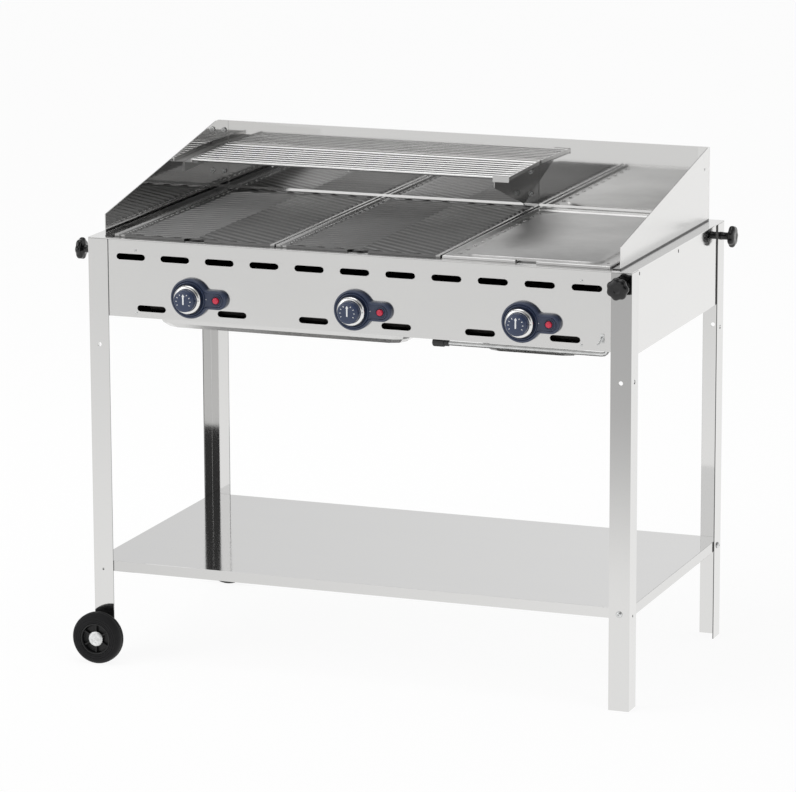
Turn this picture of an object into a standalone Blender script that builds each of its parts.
"""Free-standing gas charbroiler grill on legs: three burners, three lift-out cooking plates, lift-off
windshield with a warming rack, under-shelf and two wheels. Metres, +Z up, +X to the cook's right, -Y is the
control side. The origin is on the floor, midway between the four legs."""

import math

import bmesh
import bpy
from mathutils import Vector

# ---------------------------------------------------------------- driving dimensions (metres)
WIDTH = 1.076            # outer face to outer face of the legs, along X
DEPTH = 0.574            # outer face to outer face of the legs, along Y
BODY_TOP = 0.822         # top face of the hob frame
GAP = 0.0003             # clearance between neighbouring pieces
SHEET = 0.0015           # sheet thickness of the panels
LEG_SHEET = 0.0020       # sheet thickness of the leg angles
LEG_FLANGE = 0.040       # flange width of the leg angles
FRAME_T = 0.0017         # thickness of the hob frame
FRONT_BOTTOM = 0.6730    # lower edge of the front and rear panels
SIDE_BOTTOM = 0.6640     # lower edge of the side panels
CLAMP_Z = 0.795          # height of the four leg clamp knobs
SHELF_BOLT_Z = 0.184
CONTROL_Z = 0.718        # height of the knobs, valves and igniters
BURNER_PITCH = 0.3285    # also the pitch of the plates and of the controls
BUTTON_DX = 0.0543       # igniter button to the right of its knob
WHEEL_R = 0.050

HALF_W, HALF_D = WIDTH / 2, DEPTH / 2
FLANGE_MID_X = HALF_W - LEG_FLANGE / 2     # centre lines of the leg flanges
FLANGE_MID_Y = HALF_D - LEG_FLANGE / 2
FRAME_UNDER = BODY_TOP - FRAME_T - GAP     # top of legs and panels
REST_Z = BODY_TOP + GAP                    # underside of plates and windshield
PANEL_X = HALF_W - LEG_SHEET - GAP         # outer face of the side panels and edge of the shelf
PANEL_Y = HALF_D - LEG_SHEET - GAP         # the same for the front and rear panels

# hole radii that several pieces share
CLAMP_HOLE_R = 0.0046
SHELF_HOLE_R = 0.0034

FORWARD = (0, -1, 0)                       # towards the cook

for old in list(bpy.data.objects):
    bpy.data.objects.remove(old, do_unlink=True)


# ---------------------------------------------------------------- materials
def material(name, rgb, roughness, metallic):
    mat = bpy.data.materials.get(name)
    if mat:
        return mat
    mat = bpy.data.materials.new(name)
    mat.use_nodes = True
    shader = mat.node_tree.nodes["Principled BSDF"]
    shader.inputs["Base Color"].default_value = (*rgb, 1)
    shader.inputs["Roughness"].default_value = roughness
    shader.inputs["Metallic"].default_value = metallic
    mat.diffuse_color = (*rgb, 1)
    return mat


SATIN = material("satin_steel", rgb=(0.62, 0.61, 0.60), roughness=0.30, metallic=1.0)
POLISHED = material("polished_steel", rgb=(0.72, 0.72, 0.71), roughness=0.08, metallic=1.0)
GROOVED = material("grooved_plate", rgb=(0.16, 0.16, 0.165), roughness=0.42, metallic=0.9)
FLAT = material("griddle_plate", rgb=(0.42, 0.42, 0.42), roughness=0.38, metallic=1.0)
NAVY = material("navy_plastic", rgb=(0.040, 0.060, 0.115), roughness=0.42, metallic=0.0)
RED = material("red_plastic", rgb=(0.60, 0.03, 0.07), roughness=0.35, metallic=0.0)
BLACK = material("black_plastic", rgb=(0.012, 0.012, 0.013), roughness=0.40, metallic=0.0)
RUBBER = material("tyre_rubber", rgb=(0.020, 0.020, 0.021), roughness=0.75, metallic=0.0)
GREY = material("zinc_steel", rgb=(0.60, 0.61, 0.62), roughness=0.28, metallic=1.0)
BRASS = material("brass", rgb=(0.62, 0.46, 0.20), roughness=0.35, metallic=1.0)


# ---------------------------------------------------------------- outlines: lists of points in a plane
def arc(cx, cy, r, start, end, steps):
    """Points on an arc, angles in degrees."""
    angles = [math.radians(start + (end - start) * i / steps) for i in range(steps + 1)]
    return [(cx + r * math.cos(a), cy + r * math.sin(a)) for a in angles]


def rounded_rect(x0, x1, y0, y1, r, steps, low_r=None):
    """low_r, when given, is the radius of the two corners at y0."""
    low = r if low_r is None else low_r
    return (arc(x1 - r, y1 - r, r, 0, 90, steps)
            + arc(x0 + r, y1 - r, r, 90, 180, steps)
            + arc(x0 + low, y0 + low, low, 180, 270, steps)
            + arc(x1 - low, y0 + low, low, 270, 360, steps))


def stadium(cx, cz, length, height):
    r = height / 2
    dx = length / 2 - r
    return arc(cx + dx, cz, r, -90, 90, 4) + arc(cx - dx, cz, r, 90, 270, 4)


def circle(cx, cy, r, segments):
    angles = [2 * math.pi * (i + 0.5) / segments for i in range(segments)]
    return [(cx + r * math.cos(a), cy + r * math.sin(a)) for a in angles]


# ---------------------------------------------------------------- shapes
# Each returns a function that adds closed shells to a bmesh.
def skin(bm, ring_a, ring_b):
    """Quads between two closed rings of equally many vertices."""
    for i in range(len(ring_a)):
        j = (i + 1) % len(ring_a)
        bm.faces.new((ring_a[i], ring_a[j], ring_b[j], ring_b[i]))


def together(*shapes):
    def build(bm):
        for shape in shapes:
            shape(bm)
    return build


def box(x0, x1, y0, y1, z0, z1):
    def build(bm):
        v = [bm.verts.new((x, y, z)) for z in (z0, z1) for y in (y0, y1) for x in (x0, x1)]
        for face in ((0, 2, 3, 1), (4, 5, 7, 6), (0, 1, 5, 4),
                     (2, 6, 7, 3), (0, 4, 6, 2), (1, 3, 7, 5)):
            bm.faces.new([v[i] for i in face])
    return build


def prism(outline, axis, start, end):
    """Extruded outline. Its points are (y, z) for axis X, (x, z) for axis Y and (x, y) for axis Z."""
    def place(p, a):
        return {"X": (a, p[0], p[1]), "Y": (p[0], a, p[1]), "Z": (p[0], p[1], a)}[axis]

    def build(bm):
        low = [bm.verts.new(place(p, start)) for p in outline]
        high = [bm.verts.new(place(p, end)) for p in outline]
        bm.faces.new(low)
        bm.faces.new(high)
        skin(bm, low, high)
    return build


def hole(axis, x, y, z, r, segments=8):
    """A round cutter along X or Y through a sheet at (x, y, z)."""
    across, along = (y, x) if axis == "X" else (x, y)
    reach = 0.004
    return prism(circle(across, z, r, segments), axis, along - reach, along + reach)


def lathe(profile, centre, axis, segments, scale_at=None):
    """Turns (radius, distance along axis) about the axis through centre. A profile that starts on the axis is
    a solid turning, any other is a closed ring. At points with a third entry the radius is multiplied by
    scale_at(angle)."""
    d = Vector(axis).normalized()
    u = Vector((0, 0, 1)).cross(d).normalized() if abs(d.z) < 0.9 else Vector((1, 0, 0))
    v = d.cross(u).normalized()
    c = Vector(centre)

    def build(bm):
        rings = []
        for r, t, *scaled in profile:
            if r < 1e-9:
                rings.append([bm.verts.new(c + d * t)])
                continue
            ring = []
            for i in range(segments):
                a = 2 * math.pi * i / segments
                k = scale_at(a) if scaled else 1.0
                ring.append(bm.verts.new(c + d * t + (u * math.cos(a) + v * math.sin(a)) * (r * k)))
            rings.append(ring)
        pairs = list(zip(rings[:-1], rings[1:]))
        if profile[0][0] > 1e-9:
            pairs.append((rings[-1], rings[0]))
        for ring_a, ring_b in pairs:
            if len(ring_a) > 1 and len(ring_b) > 1:
                skin(bm, ring_a, ring_b)
                continue
            for i in range(segments):
                j = (i + 1) % segments
                if len(ring_a) == 1:
                    bm.faces.new((ring_a[0], ring_b[i], ring_b[j]))
                else:
                    bm.faces.new((ring_a[i], ring_a[j], ring_b[0]))
    return build


def tube(path, r, segments):
    """A round bar along a polyline, with flat ends."""
    points = [Vector(p) for p in path]
    last = len(points) - 1
    tangents = [(points[min(i + 1, last)] - points[max(i - 1, 0)]).normalized()
                for i in range(last + 1)]

    def build(bm):
        first = tangents[0]
        ref = Vector((0, 0, 1)) if abs(first.z) < 0.9 else Vector((1, 0, 0))
        u = (ref - first * ref.dot(first)).normalized()
        rings = []
        for point, tangent in zip(points, tangents):
            u = (u - tangent * u.dot(tangent)).normalized()
            w = tangent.cross(u).normalized()
            ring = []
            for s in range(segments):
                a = 2 * math.pi * (s + 0.5) / segments
                ring.append(bm.verts.new(point + (u * math.cos(a) + w * math.sin(a)) * r))
            rings.append(ring)
        for ring_a, ring_b in zip(rings[:-1], rings[1:]):
            skin(bm, ring_a, ring_b)
        bm.faces.new(rings[0])
        bm.faces.new(rings[-1])
    return build


# ---------------------------------------------------------------- objects
def mesh_object(name, shape, origin):
    bm = bmesh.new()
    shape(bm)
    bmesh.ops.recalc_face_normals(bm, faces=bm.faces)
    bmesh.ops.translate(bm, verts=bm.verts, vec=-Vector(origin))
    mesh = bpy.data.meshes.new(name)
    bm.to_mesh(mesh)
    bm.free()
    ob = bpy.data.objects.new(name, mesh)
    ob.location = origin
    bpy.context.scene.collection.objects.link(ob)
    return ob


def piece(name, mat, base, joins=(), cuts=(), recess=None, origin=(0, 0, 0), smooth=None):
    """One sub-part. Boolean modifiers with hidden helper objects take the recess out of the base, then fuse
    the joins to it, then take the cuts away. smooth is the sharp-edge angle in degrees."""
    ob = mesh_object(name, base, origin)
    ob.data.materials.append(mat)
    steps = [("recess", "DIFFERENCE", recess)] if recess else []
    steps += [("union_%d" % i, "UNION", shape) for i, shape in enumerate(joins)]
    steps += [("difference_%d" % i, "DIFFERENCE", shape) for i, shape in enumerate(cuts)]
    for label, operation, shape in steps:
        helper = mesh_object("helper_%s_%s" % (name, label), shape, origin)
        helper.hide_render = True
        helper.display_type = "WIRE"
        modifier = ob.modifiers.new(label, "BOOLEAN")
        modifier.operation = operation
        modifier.solver = "EXACT"
        modifier.object = helper
    if smooth is not None:
        ob.data.shade_smooth()
        ob.data.set_sharp_from_angle(angle=math.radians(smooth))


# ---------------------------------------------------------------- legs: folded angle profiles
# The clamp knob and the shelf bolt share one flange of each leg; the pattern turns by half a turn between
# opposite corners. Columns: side along X, side along Y, axis that the bolted flange faces.
LEGS = {
    "front_left": (-1, -1, "X"),
    "front_right": (1, -1, "Y"),
    "rear_right": (1, 1, "X"),
    "rear_left": (-1, 1, "Y"),
}
LEFT_LEG_BOTTOM = 0.030  # the left legs end short of the floor, above the wheels' lower edge
SPARE_HOLE_Z, SPARE_HOLE_R = 0.617, 0.0042
SMALL_HOLE_DROP, SMALL_HOLE_R = 0.006, 0.0026    # below the shelf bolt, in the other flange
AXLE_HOLE_R = 0.0056


def flange_point(sx, sy, flange, out=0.0):
    """(x, y) on the centre line of a leg flange, out is the distance outside its outer face."""
    if flange == "X":
        return sx * (HALF_W + out), sy * FLANGE_MID_Y
    return sx * FLANGE_MID_X, sy * (HALF_D + out)


def make_leg(key):
    sx, sy, bolted = LEGS[key]
    corner = [(HALF_W, HALF_D), (HALF_W - LEG_FLANGE, HALF_D),
              (HALF_W - LEG_FLANGE, HALF_D - LEG_SHEET), (HALF_W - LEG_SHEET, HALF_D - LEG_SHEET),
              (HALF_W - LEG_SHEET, HALF_D - LEG_FLANGE), (HALF_W, HALF_D - LEG_FLANGE)]
    holes = []
    for flange in ("X", "Y"):
        x, y = flange_point(sx, sy, flange, -LEG_SHEET / 2)
        holes.append(hole(flange, x, y, SPARE_HOLE_Z, SPARE_HOLE_R))
        if flange == bolted:
            holes.append(hole(flange, x, y, CLAMP_Z, CLAMP_HOLE_R))
            holes.append(hole(flange, x, y, SHELF_BOLT_Z, SHELF_HOLE_R))
        else:
            holes.append(hole(flange, x, y, SHELF_BOLT_Z - SMALL_HOLE_DROP, SMALL_HOLE_R))
        if flange == "Y" and sx < 0:
            holes.append(hole(flange, x, y, WHEEL_R, AXLE_HOLE_R))
    piece("leg_" + key, POLISHED,
          prism([(sx * x, sy * y) for x, y in corner], "Z", LEFT_LEG_BOTTOM if sx < 0 else 0.0,
                FRAME_UNDER),
          cuts=[together(*holes)])


# Turned profiles: (radius, distance outside the leg); a third entry marks the points of the lobed grip.
CLAMP_PROFILE = [
    (0, -0.016), (0.0040, -0.016), (0.0040, GAP), (0.0078, GAP), (0.0074, 0.0150),
    (0.0175, 0.0170, 1), (0.0212, 0.0205, 1), (0.0212, 0.0250, 1), (0.0165, 0.0290, 1), (0, 0.0300)]
SHELF_BOLT_PROFILE = [
    (0, -0.0115), (0.0052, -0.0115), (0.0052, -0.0042), (0.0030, -0.0042), (0.0030, GAP),
    (0.0062, GAP), (0.0058, 0.0018), (0.0040, 0.0033), (0, 0.0038)]


def lobe(angle):
    """Seven lobes round the clamp knob's grip."""
    return 1.0 - 0.075 * (1 - math.cos(7 * angle))


def make_leg_fasteners(key):
    sx, sy, bolted = LEGS[key]
    x, y = flange_point(sx, sy, bolted)
    outward = (sx, 0, 0) if bolted == "X" else (0, sy, 0)
    clamp, bolt = (x, y, CLAMP_Z), (x, y, SHELF_BOLT_Z)
    piece("clamp_knob_" + key, BLACK, lathe(CLAMP_PROFILE, clamp, outward, 21, lobe),
          origin=clamp, smooth=40)
    piece("shelf_bolt_" + key, GREY, lathe(SHELF_BOLT_PROFILE, bolt, outward, 10),
          origin=bolt, smooth=40)


for leg in LEGS:
    make_leg(leg)
    make_leg_fasteners(leg)

# ---------------------------------------------------------------- under-shelf: sheet with folded lips
SHELF_TOP = 0.195
SHELF_LIP = 0.020


def make_shelf():
    bottom = SHELF_TOP - SHELF_LIP
    inside = box(-PANEL_X + SHEET, PANEL_X - SHEET, -PANEL_Y + SHEET, PANEL_Y - SHEET,
                 bottom - 0.01, SHELF_TOP - SHEET)
    holes = []
    for sx, sy, bolted in LEGS.values():
        x, y = flange_point(sx, sy, bolted, -LEG_SHEET - GAP - SHEET / 2)
        holes.append(hole(bolted, x, y, SHELF_BOLT_Z, SHELF_HOLE_R))
    piece("shelf", POLISHED, box(-PANEL_X, PANEL_X, -PANEL_Y, PANEL_Y, bottom, SHELF_TOP),
          cuts=[inside, together(*holes)])


make_shelf()

# ---------------------------------------------------------------- body panels
PANEL_LIP = 0.012                    # depth of the lip folded inwards along the lower edge
PANEL_END = PANEL_X - SHEET - GAP    # half width of the front and rear panels, between the side panels
SLOT_L, SLOT_H = 0.059, 0.012
# rows of slots in the front panel: count, pitch, height
SLOT_ROWS = ((11, 0.0903, 0.7883), (6, 0.1641, 0.6912))
CONTROL_X = [(i - 1) * BURNER_PITCH for i in range(3)]
STEM_HOLE_R, BUTTON_HOLE_R = 0.0070, 0.0066


def lipped_outline(side, face, bottom):
    """Section of a sheet panel with its lip. side is the sign and face the distance of the outer face."""
    outer, inner, lip = [side * v for v in (face, face - SHEET, face - PANEL_LIP)]
    return [(outer, bottom), (lip, bottom), (lip, bottom + SHEET), (inner, bottom + SHEET),
            (inner, FRAME_UNDER), (outer, FRAME_UNDER)]


def make_front_panel():
    cutters = []
    for count, pitch, z in SLOT_ROWS:
        for i in range(count):
            slot = stadium((i - (count - 1) / 2) * pitch, z, SLOT_L, SLOT_H)
            cutters.append(prism(slot, "Y", -PANEL_Y - 0.004, -PANEL_Y + 0.004))
    for x in CONTROL_X:
        cutters.append(hole("Y", x, -PANEL_Y, CONTROL_Z, STEM_HOLE_R, 12))
        cutters.append(hole("Y", x + BUTTON_DX, -PANEL_Y, CONTROL_Z, BUTTON_HOLE_R, 12))
    cutters.append(hole("Y", FLANGE_MID_X, -PANEL_Y, CLAMP_Z, CLAMP_HOLE_R))
    piece("front_panel", SATIN,
          prism(lipped_outline(-1, PANEL_Y, FRONT_BOTTOM), "X", -PANEL_END, PANEL_END),
          cuts=[together(*cutters)])


def make_rear_panel():
    piece("rear_panel", SATIN,
          prism(lipped_outline(1, PANEL_Y, FRONT_BOTTOM), "X", -PANEL_END, PANEL_END),
          cuts=[hole("Y", -FLANGE_MID_X, PANEL_Y, CLAMP_Z, CLAMP_HOLE_R)])


def make_side_panel(name, side):
    # the left panel is clamped at the front, the right one at the rear
    piece(name, SATIN, prism(lipped_outline(side, PANEL_X, SIDE_BOTTOM), "Y", -PANEL_Y, PANEL_Y),
          cuts=[hole("X", side * PANEL_X, side * FLANGE_MID_Y, CLAMP_Z, CLAMP_HOLE_R)])


def make_hob_frame():
    """The rim that the plates rest on."""
    opening = rounded_rect(-0.4830, 0.4830, -0.2520, 0.2460, 0.012, 3)
    piece("hob_frame", SATIN,
          box(-HALF_W, HALF_W, -HALF_D, HALF_D, BODY_TOP - FRAME_T, BODY_TOP),
          cuts=[prism(opening, "Z", 0.80, 0.84)])


make_front_panel()
make_rear_panel()
make_side_panel("side_panel_left", -1)
make_side_panel("side_panel_right", 1)
make_hob_frame()

# ---------------------------------------------------------------- shallow pans under the burners
PAN_HALF_D = PANEL_Y - SHEET - 0.0015
PAN_TOP = FRONT_BOTTOM + SHEET + GAP     # the flange rests on the panels' lips
PAN_FLOOR = 0.6495
PAN_T = 0.0012
PAN_FLANGE, PAN_RUN = 0.028, 0.016       # width of the flange and of the sloping wall
# inset from the edge, height, corner radius
PAN_ROWS = [
    (0.0, PAN_TOP, 0.006),
    (PAN_FLANGE, PAN_TOP, 0.022),
    (PAN_FLANGE + PAN_RUN * 0.45, PAN_TOP * 0.35 + PAN_FLOOR * 0.65, 0.024),
    (PAN_FLANGE + PAN_RUN, PAN_FLOOR, 0.026)]
# name, centre x and half width that the insets start from, left and right edge of the flange
PANS = (("drip_pan_wide", -BURNER_PITCH / 2, 0.2840, -0.5330, 0.1580),
        ("drip_pan_narrow", BURNER_PITCH, 0.1320, 0.1586, 0.4780))


def pan(xc, half_w, edge_x0, edge_x1):
    """Pressed pan: flat flange, sloping wall and flat floor, one closed skin."""
    def build(bm):
        def loop(inset, z, r):
            x0, x1 = xc - half_w + inset, xc + half_w - inset
            if inset == 0.0:
                x0, x1 = edge_x0, edge_x1
            outline = rounded_rect(x0, x1, -PAN_HALF_D + inset, PAN_HALF_D - inset, r, 2)
            return [bm.verts.new((x, y, z)) for x, y in outline]

        low = [loop(inset, z, r) for inset, z, r in PAN_ROWS]
        high = [loop(inset + (PAN_T * 0.6 if inset else 0), z + PAN_T, r) for inset, z, r in PAN_ROWS]
        chain = low[::-1] + high
        for ring_a, ring_b in zip(chain[:-1], chain[1:]):
            skin(bm, ring_a, ring_b)
        bm.faces.new(low[-1])
        bm.faces.new(high[-1])
    return build


for pan_name, *pan_sizes in PANS:
    piece(pan_name, SATIN, pan(*pan_sizes), smooth=50)

# ---------------------------------------------------------------- gas train
MANIFOLD_Y, MANIFOLD_Z = -0.2600, 0.6920
MANIFOLD_X0, MANIFOLD_X1 = -0.4200, 0.4600
INLET_X, INLET_Z = 0.1770, 0.6625        # free end of the inlet pipe
BEND_X, BEND_R = 0.4740, 0.010           # centre and radius of the inlet pipe's two bends


def make_gas_pipes():
    piece("gas_manifold", GREY,
          tube([(x, MANIFOLD_Y, MANIFOLD_Z) for x in (MANIFOLD_X0, MANIFOLD_X1)], 0.0080, 10),
          smooth=40)
    # along +X, up, and back to the manifold's right-hand end
    path = [(INLET_X, INLET_Z)]
    path += arc(BEND_X, INLET_Z + BEND_R, BEND_R, -90, 0, 4)
    path += arc(BEND_X, MANIFOLD_Z - BEND_R, BEND_R, 0, 90, 4)
    path.append((MANIFOLD_X1 + GAP, MANIFOLD_Z))
    piece("gas_inlet_pipe", GREY, tube([(x, MANIFOLD_Y, z) for x, z in path], 0.0042, 8), smooth=40)
    # (radius, distance to the left of the inlet pipe's end)
    profile = [(0, 0), (0.0060, 0), (0.0060, 0.0080), (0.0078, 0.0090), (0.0078, 0.0290),
               (0.0060, 0.0310), (0, 0.0310)]
    piece("hose_connector", BLACK,
          lathe(profile, (INLET_X - GAP, MANIFOLD_Y, INLET_Z), (-1, 0, 0), 12), smooth=40)


make_gas_pipes()

# ---------------------------------------------------------------- controls and burners
# Turned profiles: (radius, distance in front of y = 0).
SHOULDER = PANEL_Y - SHEET - GAP         # just behind the front panel
# front neck through the panel, with a blind bore for the stem
VALVE_PROFILE = [
    (0, 0.2340), (0.0050, 0.2340), (0.0050, 0.2430), (0.0108, 0.2440), (0.0108, SHOULDER),
    (0.0064, SHOULDER), (0.0064, 0.2860), (0.0043, 0.2860), (0.0043, 0.2620), (0, 0.2620)]
STEM_PROFILE = [(0, 0.2640), (0.0040, 0.2640), (0.0040, 0.3145), (0, 0.3145)]
# piezo igniter behind the panel, with a blind bore for the button
IGNITER_PROFILE = [
    (0, 0.2380), (0.0030, 0.2380), (0.0030, 0.2440), (0.0085, 0.2440), (0.0085, SHOULDER),
    (0.0062, SHOULDER), (0.0062, 0.2856), (0.0041, 0.2856), (0.0041, 0.2580), (0, 0.2580)]
BUTTON_PROFILE = [
    (0, 0.2640), (0.0037, 0.2640), (0.0037, 0.2895), (0.0060, 0.2895), (0.0060, 0.2982),
    (0.0048, 0.2992), (0, 0.2996)]
# wide skirt and narrower cap, with a blind bore for the stem
KNOB_PROFILE = [
    (0, 0.3182), (0.0043, 0.3182), (0.0043, 0.3005), (0.0255, 0.3005), (0.0262, 0.3045),
    (0.0245, 0.3070), (0.0212, 0.3075), (0.0205, 0.3215), (0.0190, 0.3232), (0, 0.3238)]
# (radius, distance below the valve's centre): spigot down towards the manifold
SPIGOT_PROFILE = [(0, 0.0060), (0.0046, 0.0060), (0.0046, 0.0177), (0, 0.0177)]


def make_valve(number, x):
    centre = (x, 0, CONTROL_Z)
    spigot = lathe(SPIGOT_PROFILE, (x, MANIFOLD_Y, CONTROL_Z), (0, 0, -1), 10)
    piece("gas_valve_" + number, BRASS, lathe(VALVE_PROFILE, centre, FORWARD, 12),
          joins=[spigot], smooth=40)
    piece("valve_stem_" + number, BRASS, lathe(STEM_PROFILE, centre, FORWARD, 12),
          origin=(x, -0.2890, CONTROL_Z), smooth=40)
    piece("control_knob_" + number, NAVY, lathe(KNOB_PROFILE, centre, FORWARD, 20),
          origin=(x, -0.3000, CONTROL_Z), smooth=35)


def make_igniter(number, x):
    centre = (x, 0, CONTROL_Z)
    piece("igniter_" + number, BLACK, lathe(IGNITER_PROFILE, centre, FORWARD, 12), smooth=40)
    piece("igniter_button_" + number, RED, lathe(BUTTON_PROFILE, centre, FORWARD, 12),
          origin=(x, -0.2930, CONTROL_Z), smooth=40)


BEZEL_R = 0.0385                         # disc round the knob
BEZEL_END_R, BEZEL_END_DX = 0.0190, 0.0610     # rounded extension to the right
BEZEL_BACK, BEZEL_FACE = PANEL_Y + GAP, PANEL_Y + 0.0118
BEZEL_CHAMFER, BEZEL_CHAMFER_DEPTH = 0.0025, 0.0030


def bezel(outline):
    """Plate with a chamfered front edge. The outline runs anticlockwise in (x, z)."""
    def build(bm):
        rows = []
        for distance, inset in ((BEZEL_BACK, 0.0), (BEZEL_FACE - BEZEL_CHAMFER_DEPTH, 0.0),
                                (BEZEL_FACE, BEZEL_CHAMFER)):
            row = []
            for i, (x, z) in enumerate(outline):
                before, after = outline[i - 1], outline[(i + 1) % len(outline)]
                along = Vector((after[0] - before[0], 0, after[1] - before[1])).normalized()
                inward = Vector((-along.z, 0, along.x))
                row.append(bm.verts.new(Vector((x, -distance, z)) + inward * inset))
            rows.append(row)
        skin(bm, rows[0], rows[1])
        skin(bm, rows[1], rows[2])
        bm.faces.new(rows[0])
        bm.faces.new(rows[-1])
    return build


def make_bezel(number, x):
    neck = math.degrees(math.asin(BEZEL_END_R / BEZEL_R))
    outline = arc(x, CONTROL_Z, BEZEL_R, neck, 360 - neck, 20)
    outline += arc(x + BEZEL_END_DX, CONTROL_Z, BEZEL_END_R, -90, 90, 6)
    holes = [prism(circle(hole_x, CONTROL_Z, r, 12), "Y", -0.31, -0.28)
             for hole_x, r in ((x, 0.0068), (x + BUTTON_DX, BUTTON_HOLE_R))]
    piece("bezel_" + number, NAVY, bezel(outline), cuts=[together(*holes)], smooth=40)


BURNER_HALF = 0.0640                     # half the spacing of the U's two arms
BURNER_Z = CONTROL_Z + 0.012             # centre line of the arms
BURNER_INLET_Y = -0.2337                 # over the valve's rear nozzle
BURNER_BEND_Y, BURNER_U_Y = -0.2000, 0.120     # start of the first bend and of the U's rear bend
FIRST_BEND_R, SECOND_BEND_R = 0.030, 0.020


def make_burner(number, x):
    """U-shaped tube burner on four feet."""
    path = [(x, BURNER_INLET_Y, CONTROL_Z), (x, BURNER_BEND_Y, CONTROL_Z)]
    # the first bend turns left and climbs 10 mm
    for degrees in (30, 60, 90):
        a = math.radians(degrees)
        path.append((x - FIRST_BEND_R + FIRST_BEND_R * math.cos(a),
                     BURNER_BEND_Y + FIRST_BEND_R * math.sin(a), CONTROL_Z + 0.010 * degrees / 90))
    level = arc(x - BURNER_HALF + SECOND_BEND_R, BURNER_BEND_Y + FIRST_BEND_R + SECOND_BEND_R,
                SECOND_BEND_R, -90, -180, 3)
    level += arc(x, BURNER_U_Y, BURNER_HALF, 180, 0, 6)
    level.append((x + BURNER_HALF, -0.185))
    path += [(px, py, BURNER_Z) for px, py in level]
    feet = []
    for sx in (-1, 1):
        foot_x = x + sx * BURNER_HALF
        for y in (-0.100, 0.080):
            feet.append(box(foot_x - 0.0060, foot_x + 0.0060, y, y + 0.0015,
                            PAN_FLOOR + PAN_T + GAP, CONTROL_Z + 0.010))
    piece("burner_" + number, GREY, tube(path, 0.0110, 8), joins=[together(*feet)], smooth=40)


for i, control_x in enumerate(CONTROL_X):
    unit = str(i + 1)
    make_valve(unit, control_x)
    make_igniter(unit, control_x + BUTTON_DX)
    make_bezel(unit, control_x)
    make_burner(unit, control_x)

# ---------------------------------------------------------------- cooking plates
PLATE_HALF = 0.3250 / 2                  # gastronorm 1/1 plates
PLATE_Y0, PLATE_Y1 = -0.2680, 0.2600
PLATE_TOP = 0.8280
RIM = 0.0100
RECESS_Z = PLATE_TOP - 0.0032            # floor of the grooved plates' recess
CHANNEL_Z = PLATE_TOP - 0.0038           # floor of the griddle's gutter
CUT_TOP = PLATE_TOP + 0.01
RIB_PITCH, RIB_W, RIB_ANGLE = 0.0250, 0.0120, 33.0
RIB_X0 = 0.0022                          # start of the ribs either side of the plate's centre line
RIB_Y0, RIB_Y1 = PLATE_Y0 + 0.0240, PLATE_Y1 - 0.0200
RIB_MIN_AREA = 1.5e-4                    # smaller clipped ribs are left out
DRAIN_HALF_W = 0.0018


def plate_blank(xc):
    return box(xc - PLATE_HALF, xc + PLATE_HALF, PLATE_Y0, PLATE_Y1, REST_Z, PLATE_TOP)


def rim_outline(xc):
    """Inner edge of the plate's rim."""
    return rounded_rect(xc - PLATE_HALF + RIM, xc + PLATE_HALF - RIM, PLATE_Y0 + RIM, PLATE_Y1 - RIM,
                        0.006, 2)


def finger_notch(xc):
    """Tapered notch in the middle of the front edge."""
    return prism([(xc - 0.021, PLATE_Y0 - 0.01), (xc + 0.021, PLATE_Y0 - 0.01),
                  (xc + 0.019, PLATE_Y0 + 0.016), (xc - 0.019, PLATE_Y0 + 0.016)], "Z", 0.80, 0.86)


def drains(line, start, end, pitch, along, length):
    """A line of short slots between start and end, along Y at x = line or along X at y = line."""
    across = (line - DRAIN_HALF_W, line + DRAIN_HALF_W)
    slots = []
    count = int((end - start) / pitch)
    for i in range(count + 1):
        middle = start + (end - start) * i / count
        span = (middle - length / 2, middle + length / 2)
        x_y = (*across, *span) if along == "Y" else (*span, *across)
        slots.append(box(*x_y, 0.81, 0.84))
    return together(*slots)


def clip_y(outline, sign, limit):
    """Keeps the part of a convex outline with sign * y <= sign * limit."""
    kept = []
    for i, p in enumerate(outline):
        q = outline[(i + 1) % len(outline)]
        over_p, over_q = sign * (p[1] - limit), sign * (q[1] - limit)
        if over_p <= 0:
            kept.append(p)
        if over_p < 0 < over_q or over_q < 0 < over_p:
            t = over_p / (over_p - over_q)
            kept.append((p[0] + (q[0] - p[0]) * t, p[1] + (q[1] - p[1]) * t))
    return kept


def outline_area(outline):
    following = outline[1:] + outline[:1]
    return abs(sum(p[0] * q[1] - q[0] * p[1] for p, q in zip(outline, following))) / 2


def chevron_ribs(xc):
    """Ribs that fall away to the front on both sides of the centre line."""
    slope = math.tan(math.radians(RIB_ANGLE))
    half_y = RIB_W / 2 / math.cos(math.radians(RIB_ANGLE))
    ribs = []
    peak_y = RIB_Y0 + 0.010
    while peak_y < RIB_Y1 + 0.11:
        for sx, reach in ((-1, PLATE_HALF - 0.0220), (1, PLATE_HALF - 0.0180)):
            near_x, near_y = xc + sx * RIB_X0, peak_y - RIB_X0 * slope
            far_x, far_y = xc + sx * reach, peak_y - reach * slope
            outline = [(near_x, near_y - half_y), (far_x, far_y - half_y),
                       (far_x, far_y + half_y), (near_x, near_y + half_y)]
            outline = clip_y(clip_y(outline, -1, RIB_Y0), 1, RIB_Y1)
            if len(outline) >= 3 and outline_area(outline) > RIB_MIN_AREA:
                ribs.append(prism(outline, "Z", RECESS_Z - 0.0012, PLATE_TOP - 0.0002))
        peak_y += RIB_PITCH
    return together(*ribs)


def make_grooved_plate(name, xc):
    piece(name, GROOVED, plate_blank(xc),
          recess=prism(rim_outline(xc), "Z", RECESS_Z, CUT_TOP),
          joins=[chevron_ribs(xc)],
          cuts=[finger_notch(xc),
                drains(xc - PLATE_HALF + 0.0160, PLATE_Y0 + 0.05, PLATE_Y1 - 0.03, 0.054, "Y", 0.009)])


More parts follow.
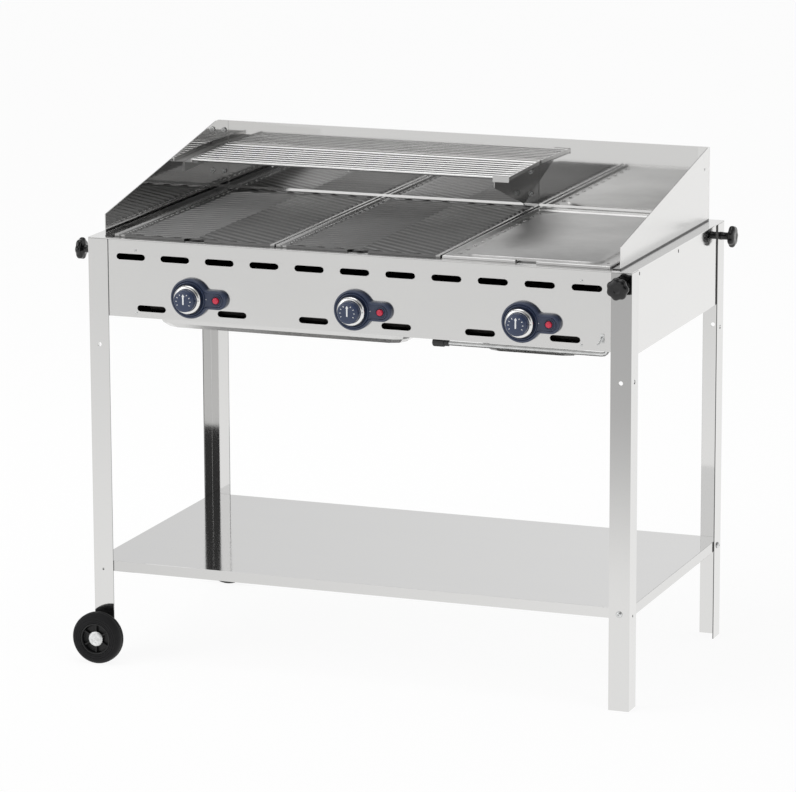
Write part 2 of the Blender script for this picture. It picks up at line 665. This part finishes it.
def griddle_channel(xc):
    """The gutter round the griddle's raised cooking face."""
    outer = rim_outline(xc)
    inner = rounded_rect(xc - PLATE_HALF + 0.0300, xc + PLATE_HALF - 0.0300,
                         PLATE_Y0 + 0.0280, PLATE_Y1 - 0.0300, 0.055, 4, low_r=0.030)

    def build(bm):
        outer_low, outer_high, inner_low, inner_high = [
            [bm.verts.new((x, y, z)) for x, y in outline]
            for outline in (outer, inner) for z in (CHANNEL_Z, CUT_TOP)]
        skin(bm, outer_low, outer_high)
        skin(bm, inner_low, inner_high)
        for loops in ((outer_low, inner_low), (outer_high, inner_high)):
            edges = [bm.edges.get((loop[i - 1], loop[i])) for loop in loops for i in range(len(loop))]
            bmesh.ops.bridge_loops(bm, edges=edges)
    return build


def make_griddle_plate(name, xc):
    x0, x1 = xc - PLATE_HALF, xc + PLATE_HALF
    piece(name, FLAT, plate_blank(xc),
          cuts=[griddle_channel(xc), finger_notch(xc),
                together(drains(x0 + 0.0200, PLATE_Y0 + 0.06, PLATE_Y1 - 0.05, 0.082, "Y", 0.008),
                         drains(PLATE_Y1 - 0.0200, x0 + 0.07, x1 - 0.07, 0.042, "X", 0.017))])


make_grooved_plate("grooved_plate_left", -BURNER_PITCH)
make_grooved_plate("grooved_plate_middle", 0.0)
make_griddle_plate("griddle_plate_right", BURNER_PITCH)

# ---------------------------------------------------------------- windshield
SHIELD_X = 0.5105                        # outer face of the side panels
SHIELD_Y0, SHIELD_Y1 = -0.2690, 0.2770
SHIELD_TOP, SHIELD_FRONT_TOP = 0.9636, 0.8640
SHIELD_IN_X = SHIELD_X - SHEET           # inner face of the side panels
RETURN_Y1 = SHIELD_Y1 - SHEET - GAP      # rear and front face of the side panels' rear flanges
RETURN_Y0 = RETURN_Y1 - SHEET
FOOT_TOP = 0.8318                        # top of the back panel's foot


def make_windshield_back():
    lap_y = SHIELD_Y1 - 0.0007           # foot and hem overlap inside the sheet
    foot = box(-SHIELD_IN_X + GAP, SHIELD_IN_X - GAP, 0.2625, lap_y, REST_Z + 0.0001, FOOT_TOP)
    hem = box(-SHIELD_X + 0.0005, SHIELD_X - 0.0005, lap_y, SHIELD_Y1 + 0.0030,
              SHIELD_TOP - 0.0100, SHIELD_TOP - 0.0001)
    piece("windshield_back", POLISHED,
          box(-SHIELD_X, SHIELD_X, SHIELD_Y1 - SHEET, SHIELD_Y1, REST_Z, SHIELD_TOP),
          joins=[foot, hem])


def make_windshield_side(name, side):
    outline = [(SHIELD_Y0, REST_Z), (RETURN_Y1, REST_Z), (RETURN_Y1, SHIELD_TOP),
               (RETURN_Y1 - 0.012, SHIELD_TOP), (SHIELD_Y0, SHIELD_FRONT_TOP)]

    def span(outer, inner):
        return sorted((side * outer, side * inner))

    lap_x = SHIELD_IN_X + 0.0006         # the flanges overlap inside the sheet
    bottom_flange = box(*span(lap_x, 0.4940), SHIELD_Y0 + 0.0003, 0.2600,
                        REST_Z + 0.0001, REST_Z + SHEET)
    rear_flange = box(*span(lap_x, 0.4880), RETURN_Y0, RETURN_Y1 - 0.0001,
                      FOOT_TOP + GAP, SHIELD_TOP - 0.0002)
    piece(name, POLISHED, prism(outline, "X", *span(SHIELD_X, SHIELD_IN_X)),
          joins=[together(bottom_flange, rear_flange)])


make_windshield_back()
make_windshield_side("windshield_left", -1)
make_windshield_side("windshield_right", 1)

# ---------------------------------------------------------------- warming rack and its brackets
RACK_X0, RACK_X1 = -0.4918, 0.1688
RACK_Y0, RACK_Y1 = 0.0937, 0.2700
RACK_Z = 0.9117                          # centre of the front rod
RACK_SLOPE = 0.022                       # the rack rises slightly towards the rear
ROD_COUNT, ROD_PITCH = 7, 0.0208         # thin rods between the front and the rear rod
CROSS_ROD_X = (-0.3200, -0.1615, -0.0030)
THIN_ROD_R = 0.0021
END_BAR_W = 0.0026
SEAT = RACK_Z - 0.0040 - GAP             # top of the bracket flanges at the rack's front


def rack_height(y, z):
    """Height at y of a line that parallels the rack and passes z at its front."""
    return z + RACK_SLOPE * (y - RACK_Y0)


def sloping_outline(y0, y1, low, high, shift0=0.0, shift1=0.0):
    """(y, z) strip parallel to the rack. The shifts move its ends along Y at unchanged heights."""
    front, rear = y0 + shift0, y1 + shift1
    return [(front, rack_height(y0, low)), (rear, rack_height(y1, low)),
            (rear, rack_height(y1, high)), (front, rack_height(y0, high))]


def long_rod(y, z, r, segments):
    return tube([(RACK_X0 + 0.0012, y, z), (RACK_X1 - 0.0012, y, z)], r, segments)


def make_warming_rack():
    rods = [long_rod(RACK_Y0 + 0.0050, RACK_Z, 0.0031, 8)]
    for i in range(ROD_COUNT):
        y = RACK_Y0 + 0.0260 + ROD_PITCH * i
        rods.append(long_rod(y, rack_height(y, RACK_Z), THIN_ROD_R, 6))
    rear_y = RACK_Y1 - 0.0040
    rods.append(long_rod(rear_y, rack_height(rear_y, RACK_Z), 0.0029, 8))

    bar = sloping_outline(RACK_Y0 + 0.0008, RACK_Y1, RACK_Z - 0.0040, RACK_Z + 0.0034)
    frame = [prism(bar, "X", x0, x1) for x0, x1 in ((RACK_X0, RACK_X0 + END_BAR_W),
                                                    (RACK_X1 - END_BAR_W, RACK_X1))]
    for x in CROSS_ROD_X:
        path = [(x, y, rack_height(y, RACK_Z - 0.0032)) for y in (RACK_Y0 + 0.0045, RACK_Y1 - 0.0035)]
        frame.append(tube(path, THIN_ROD_R, 6))
    piece("warming_rack", GREY, together(*rods), joins=[together(*frame)], smooth=40)


def make_right_bracket():
    x = 0.1348                           # left face of the web
    y0, y1 = RACK_Y0 + 0.0088, RETURN_Y0 - GAP
    web_y1 = y1 + 0.0006
    web_top = SEAT - 0.0004
    web = [(y0, 0.8908), (web_y1, FOOT_TOP + GAP), (web_y1, rack_height(y1, web_top)),
           (y0, rack_height(y0, web_top))]
    rear_flange = box(x + 0.0006, 0.1660, y1, y1 + SHEET, FOOT_TOP + 2 * GAP, 0.9040)
    seat = prism(sloping_outline(RACK_Y0, y1, SEAT - SHEET, SEAT, shift0=-0.0012),
                 "X", x + 0.0005, RACK_X1)
    front_lip = box(x + 0.0007, RACK_X1 - 0.0002, RACK_Y0 - 0.0014, RACK_Y0 + 0.0001,
                    SEAT - 0.0030, SEAT + 0.0082)
    piece("rack_bracket_right", POLISHED, prism(web, "X", x, x + SHEET),
          joins=[rear_flange, seat, front_lip])


def make_left_bracket():
    x = -SHIELD_IN_X + GAP               # against the left side panel
    y0, y1 = 0.1000, RETURN_Y0 - 0.0012
    web = sloping_outline(y0, y1, SEAT - 0.0200, SEAT - 0.0003)
    seat = sloping_outline(y0, y1, SEAT - SHEET, SEAT, shift0=0.0001, shift1=-0.0001)
    piece("rack_bracket_left", POLISHED, prism(web, "X", x, x + SHEET),
          joins=[prism(seat, "X", x + 0.0006, x + 0.0290)])


make_warming_rack()
make_right_bracket()
make_left_bracket()

# ---------------------------------------------------------------- wheels on the left-hand legs
WHEEL_HALF = 0.030 / 2
HUB_BACK = -WHEEL_HALF + 0.0015          # leg side of the hub
HUB_SEAT = WHEEL_HALF - 0.0060           # hub face under the axle's cap
LEG_FACE = -(0.016 + WHEEL_HALF)         # outer face of the leg, past the spacer
# Turned profiles: (radius, distance outwards from the wheel's middle plane).
TYRE_PROFILE = [
    (0.0310, -WHEEL_HALF + 0.0010), (0.0440, -WHEEL_HALF), (0.0485, -WHEEL_HALF + 0.0035),
    (WHEEL_R, -WHEEL_HALF + 0.0090), (WHEEL_R, WHEEL_HALF - 0.0090),
    (0.0485, WHEEL_HALF - 0.0035), (0.0440, WHEEL_HALF), (0.0310, WHEEL_HALF - 0.0010)]
HUB_PROFILE = [
    (0.0054, HUB_BACK), (0.0307, HUB_BACK), (0.0307, WHEEL_HALF - 0.0008),
    (0.0275, WHEEL_HALF - 0.0008), (0.0262, WHEEL_HALF - 0.0090), (0.0130, WHEEL_HALF - 0.0090),
    (0.0122, HUB_SEAT), (0.0054, HUB_SEAT)]
# nut inside the leg, spacer collar between leg and wheel, large flat cap outside
AXLE_PROFILE = [
    (0, LEG_FACE - 0.0100), (0.0085, LEG_FACE - 0.0100), (0.0085, LEG_FACE - 0.0026),
    (0.0050, LEG_FACE - 0.0026), (0.0050, LEG_FACE + GAP), (0.0090, LEG_FACE + GAP),
    (0.0090, HUB_BACK - GAP), (0.0050, HUB_BACK - GAP), (0.0050, HUB_SEAT + GAP),
    (0.0146, HUB_SEAT + GAP), (0.0146, WHEEL_HALF - 0.0030), (0.0130, WHEEL_HALF - 0.0016),
    (0, WHEEL_HALF - 0.0012)]


def make_wheel(end, sy):
    centre = (-FLANGE_MID_X, sy * (HALF_D - LEG_FACE), WHEEL_R)
    for name, mat, profile, segments, smooth in (
            ("tyre_", RUBBER, TYRE_PROFILE, 28, 35),
            ("wheel_hub_", BLACK, HUB_PROFILE, 20, 35),
            ("wheel_axle_", GREY, AXLE_PROFILE, 12, 40)):
        piece(name + end, mat, lathe(profile, centre, (0, sy, 0), segments),
              origin=centre, smooth=smooth)


make_wheel("front", -1)
make_wheel("rear", 1)


# ---------------------------------------------------------------- small bent hook low on the front panel
def make_utensil_hook():
    x, y = 0.4790, -PANEL_Y - GAP
    wire = [(x + 0.0020, y - 0.0004, 0.7000), (x + 0.0020, y - 0.0100, 0.6960),
            (x + 0.0010, y - 0.0140, 0.6900), (x - 0.0040, y - 0.0150, 0.6880)]
    piece("utensil_hook", GREY, box(x - 0.0020, x + 0.0060, y - 0.0012, y, 0.6880, 0.7060),
          joins=[tube(wire, 0.0013, 6)])


make_utensil_hook()
